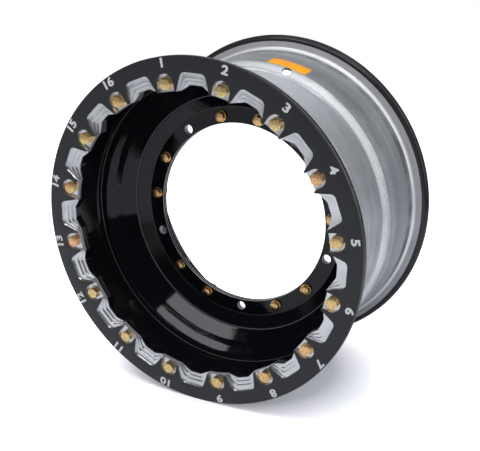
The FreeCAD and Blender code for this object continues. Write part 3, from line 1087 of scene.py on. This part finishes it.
def numberMesh(number):
    text = bpy.data.curves.new("number", "FONT")
    text.body = str(number)
    text.size = boltNumbers["height"] * boltNumbers["sizeForHeight"] * mm
    text.align_x = "CENTER"
    text.align_y = "CENTER"
    text.offset = boltNumbers["strokeGrowth"] * mm
    text.extrude = boltNumbers["thickness"] * mm
    text.resolution_u = 4
    holder = addObject("number", text)
    mesh = bpy.data.meshes.new_from_object(holder.evaluated_get(bpy.context.evaluated_depsgraph_get()))
    bpy.data.objects.remove(holder)
    bpy.data.curves.remove(text)
    mesh.transform(Matrix.Diagonal((boltNumbers["stretch"], 1, 1, 1)))
    return mesh


def makeBoltNumbers():
    whole = bmesh.new()
    for i, angle in enumerate(boltAngles):
        mesh = numberMesh(i + 1)
        mesh.transform(onRingFace(angle, boltNumbers["middleR"]))
        addMesh(whole, mesh)
    piece = addObject("boltNumbers", toMesh(whole, "boltNumbers", [etched]))
    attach(piece, "root")


makeBoltNumbers()
print("bolt numbers made")


# Orange film label, stuck to the rear bead seat behind the valve hole
label = {
    "corners": ((84.0, 26.6), (67.9, 26.9), (68.4, 51.6), (84.6, 51.6)),
    "thickness": 0.12,
    "steps": (20, 4),
}


def makeLabel():
    # a grid whose corners are (angle, y) places on the seat
    (startR, startY), (endR, endY) = rearShell["slopeEnd"], rearShell["seatEnd"]
    bm = bmesh.new()
    bmesh.ops.create_grid(bm, x_segments=label["steps"][0], y_segments=label["steps"][1], size=0.5)
    a, b, c, d = [Vector(corner) for corner in label["corners"]]
    for vert in bm.verts:
        u, v = vert.co.x + 0.5, vert.co.y + 0.5
        angle, y = a.lerp(b, u).lerp(d.lerp(c, u), v)
        r = startR + (endR - startR) * (y - startY) / (endY - startY) + label["thickness"]
        turn = math.radians(angle)
        vert.co = Vector((r * math.cos(turn), y, r * math.sin(turn))) * mm
    bmesh.ops.recalc_face_normals(bm, faces=bm.faces)
    if bm.faces[:][0].normal.z < 0:
        bmesh.ops.reverse_faces(bm, faces=bm.faces)
    mesh = toMesh(bm, "filmLabel", [orangeFilm], turnOut=False)
    mesh.shade_smooth()
    piece = addObject("filmLabel", mesh)
    solid = piece.modifiers.new("film", "SOLIDIFY")
    solid.thickness = label["thickness"] * mm
    solid.offset = -1
    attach(piece, "root")


makeLabel()
print("label made")


# Stage, light and camera

stage = {
    "x": (-2.2, 0.95),
    "y": (-1.6, 3.2),
    "frontLowest": (-0.116, -0.2046),
    "rearLowest": (0.105, -0.2074),
    "shadeCentre": (0.0, -0.01),
    "shadeReach": (0.215, 0.175),
    "shadeFade": (0.58, 1.04),
    "nearGlow": 0.12,
    "paper": (0.72, 0.72, 0.80),
    "paperInMirror": (0.60, 0.61, 0.65),
}


def seenDirectly(tree, path):
    return mathNode(tree, "MAXIMUM", path.outputs["Is Camera Ray"], path.outputs["Is Transmission Ray"])


def emptyTree(owner):
    # the owner's cleared node tree, with the light path and the coordinates
    owner.use_nodes = True
    tree = owner.node_tree
    tree.nodes.clear()
    return tree, addNode(tree, "ShaderNodeLightPath"), addNode(tree, "ShaderNodeTexCoord")


def makeStage():
    # a white table, whose own glow keeps it white away from the wheel's shadow
    (frontY, frontZ), (rearY, rearZ) = stage["frontLowest"], stage["rearLowest"]
    lean = (rearZ - frontZ) / (rearY - frontY)
    bm = bmesh.new()
    verts = [bm.verts.new((x, y, frontZ + (y - frontY) * lean)) for y in stage["y"] for x in stage["x"]]
    bm.faces.new((verts[0], verts[1], verts[3], verts[2]))
    material = bpy.data.materials.new("whiteTable")
    tree, path, coords = emptyTree(material)
    (centreX, centreY), (reachX, reachY) = stage["shadeCentre"], stage["shadeReach"]
    oval = addNode(tree, "ShaderNodeMapping", {"Scale": (1 / reachX, 1 / reachY, 0),
                                               "Location": (-centreX / reachX, -centreY / reachY, 0)})
    feed(oval, Vector=coords.outputs["Object"])
    distance = addNode(tree, "ShaderNodeVectorMath", operation="LENGTH")
    feed(distance, Vector=oval.outputs[0])
    strength = mapRange(tree, distance.outputs["Value"], *stage["shadeFade"], stage["nearGlow"], 1.0)
    glow = addNode(tree, "ShaderNodeEmission", {"Color": (1, 1, 1, 1)})
    feed(glow, Strength=times(tree, seenDirectly(tree, path), strength))
    paper = addNode(tree, "ShaderNodeBsdfDiffuse")
    feed(paper, Color=mixColour(tree, path.outputs["Is Glossy Ray"], stage["paper"], stage["paperInMirror"]))
    add = addNode(tree, "ShaderNodeAddShader")
    tree.links.new(glow.outputs[0], add.inputs[0])
    tree.links.new(paper.outputs[0], add.inputs[1])
    out = addNode(tree, "ShaderNodeOutputMaterial")
    feed(out, Surface=add.outputs[0])
    table = addObject("table", toMesh(bm, "table", [material], turnOut=False))


studio = {
    "dark": (0.022, 0.023, 0.026),
    "horizon": (0.36, 0.37, 0.39),
    "behind": (0.84, 0.85, 0.87),
    "ambient": (0.30, 0.305, 0.32),
    "horizonHeight": (0.12, 0.26),
    "horizonRight": (0.45, 0.68),
    "behindDepth": (0.4, 0.65),
    "behindRight": (0.35, 0.62),
    "behindHeight": (0.12, 0.56),
}


def makeWorld():
    # white to the camera, a dark room in front and a pale backdrop behind in reflections
    world = bpy.data.worlds.new("studio")
    scene.world = world
    tree, path, coords = emptyTree(world)
    split = addNode(tree, "ShaderNodeSeparateXYZ")
    feed(split, Vector=coords.outputs["Generated"])
    right, back, height = split.outputs
    nearHorizon = times(tree, fadeOut(tree, mathNode(tree, "ABSOLUTE", height), *studio["horizonHeight"]),
                        fadeOut(tree, right, *studio["horizonRight"]))
    front = mixColour(tree, nearHorizon, studio["dark"], studio["horizon"])
    towardsBack = times(tree, mapRange(tree, back, *studio["behindDepth"]),
                        fadeOut(tree, right, *studio["behindRight"]))
    towardsBack = times(tree, towardsBack, fadeOut(tree, height, *studio["behindHeight"]))
    room = mixColour(tree, towardsBack, front, studio["behind"])
    colour = mixColour(tree, path.outputs["Is Diffuse Ray"], room, studio["ambient"])
    background = addNode(tree, "ShaderNodeBackground", {"Strength": 1.0})
    white = (1.0, 1.0, 1.0)
    feed(background, Color=mixColour(tree, seenDirectly(tree, path), colour, white))
    out = addNode(tree, "ShaderNodeOutputWorld")
    feed(out, Surface=background.outputs[0])


# The key and fill are soft lamps that no surface mirrors; the others are also seen as highlights
unmirrored = ("key", "fill")
mirroredTint = (0.93, 0.96, 1.0)
lamps = {
    "strip": {"place": (-0.06, -0.63, 1.2), "aim": (0.0, -0.05, 0.0), "along": (1.32, -0.36, 0.0),
              "size": (1.3, 0.3), "watts": 4.6},
    "canopy": {"place": (1.0, -0.02, 1.3), "aim": (1.0, -0.02, 0.0), "along": (1.0, 0.0, 0.0),
               "size": (1.7, 0.9), "watts": 3.8},
    "above": {"place": (-0.05, 0.28, 1.35), "aim": (-0.05, 0.28, 0.0), "along": (1.0, 0.0, 0.0),
              "size": (1.1, 0.5), "watts": 1.0},
    "side": {"place": (1.5, 0.05, 0.5), "aim": (0.15, 0.05, 0.0), "along": (0.0, 1.0, 0.0),
             "size": (0.45, 1.3), "watts": 3.3},
    "key": {"place": (-0.7, -0.55, 1.5), "aim": (0, 0, -0.1), "along": (1.0, 0.0, 0.0), "size": (0.9, 0.9),
            "watts": 19},
    "fill": {"place": (1.2, -1.3, 1.2), "aim": (0, 0, -0.1), "along": (1.0, 0.0, 0.0), "size": (1.2, 1.2),
             "watts": 10.5},
}


def makeLamps():
    for name, lamp in lamps.items():
        data = bpy.data.lights.new(name, "AREA")
        data.shape = "RECTANGLE"
        data.size, data.size_y = lamp["size"]
        data.energy = lamp["watts"]
        light = bpy.data.objects.new(name, data)
        back = (Vector(lamp["place"]) - Vector(lamp["aim"])).normalized()
        along = Vector(lamp["along"])
        along = (along - back * along.dot(back)).normalized()
        light.matrix_world = axesAt(lamp["place"], along, back.cross(along), back)
        light.visible_glossy = name not in unmirrored
        if light.visible_glossy:
            data.color = mirroredTint
        scene.collection.objects.link(light)


camera = {
    "place": (0.46021, -0.83782, 0.30005),
    "forward": (-0.41939, 0.82544, -0.37783),
    "lens": 59.48,
    "sensorWidth": 36,
    "shift": (-0.0579, 0.1127),
    "clip": (0.02, 60),
}


def makeCamera():
    data = bpy.data.cameras.new("camera")
    data.sensor_width = camera["sensorWidth"]
    data.lens = camera["lens"]
    data.shift_x, data.shift_y = camera["shift"]
    data.clip_start, data.clip_end = camera["clip"]
    eye = bpy.data.objects.new("camera", data)
    forward = Vector(camera["forward"]).normalized()
    right = forward.cross(Vector((0, 0, 1))).normalized()
    eye.matrix_world = axesAt(camera["place"], right, right.cross(forward), -forward)
    scene.collection.objects.link(eye)
    scene.camera = eye


makeStage()
makeWorld()
makeLamps()
makeCamera()
scene.view_settings.view_transform = "Standard"
print("stage, lamps and camera made")
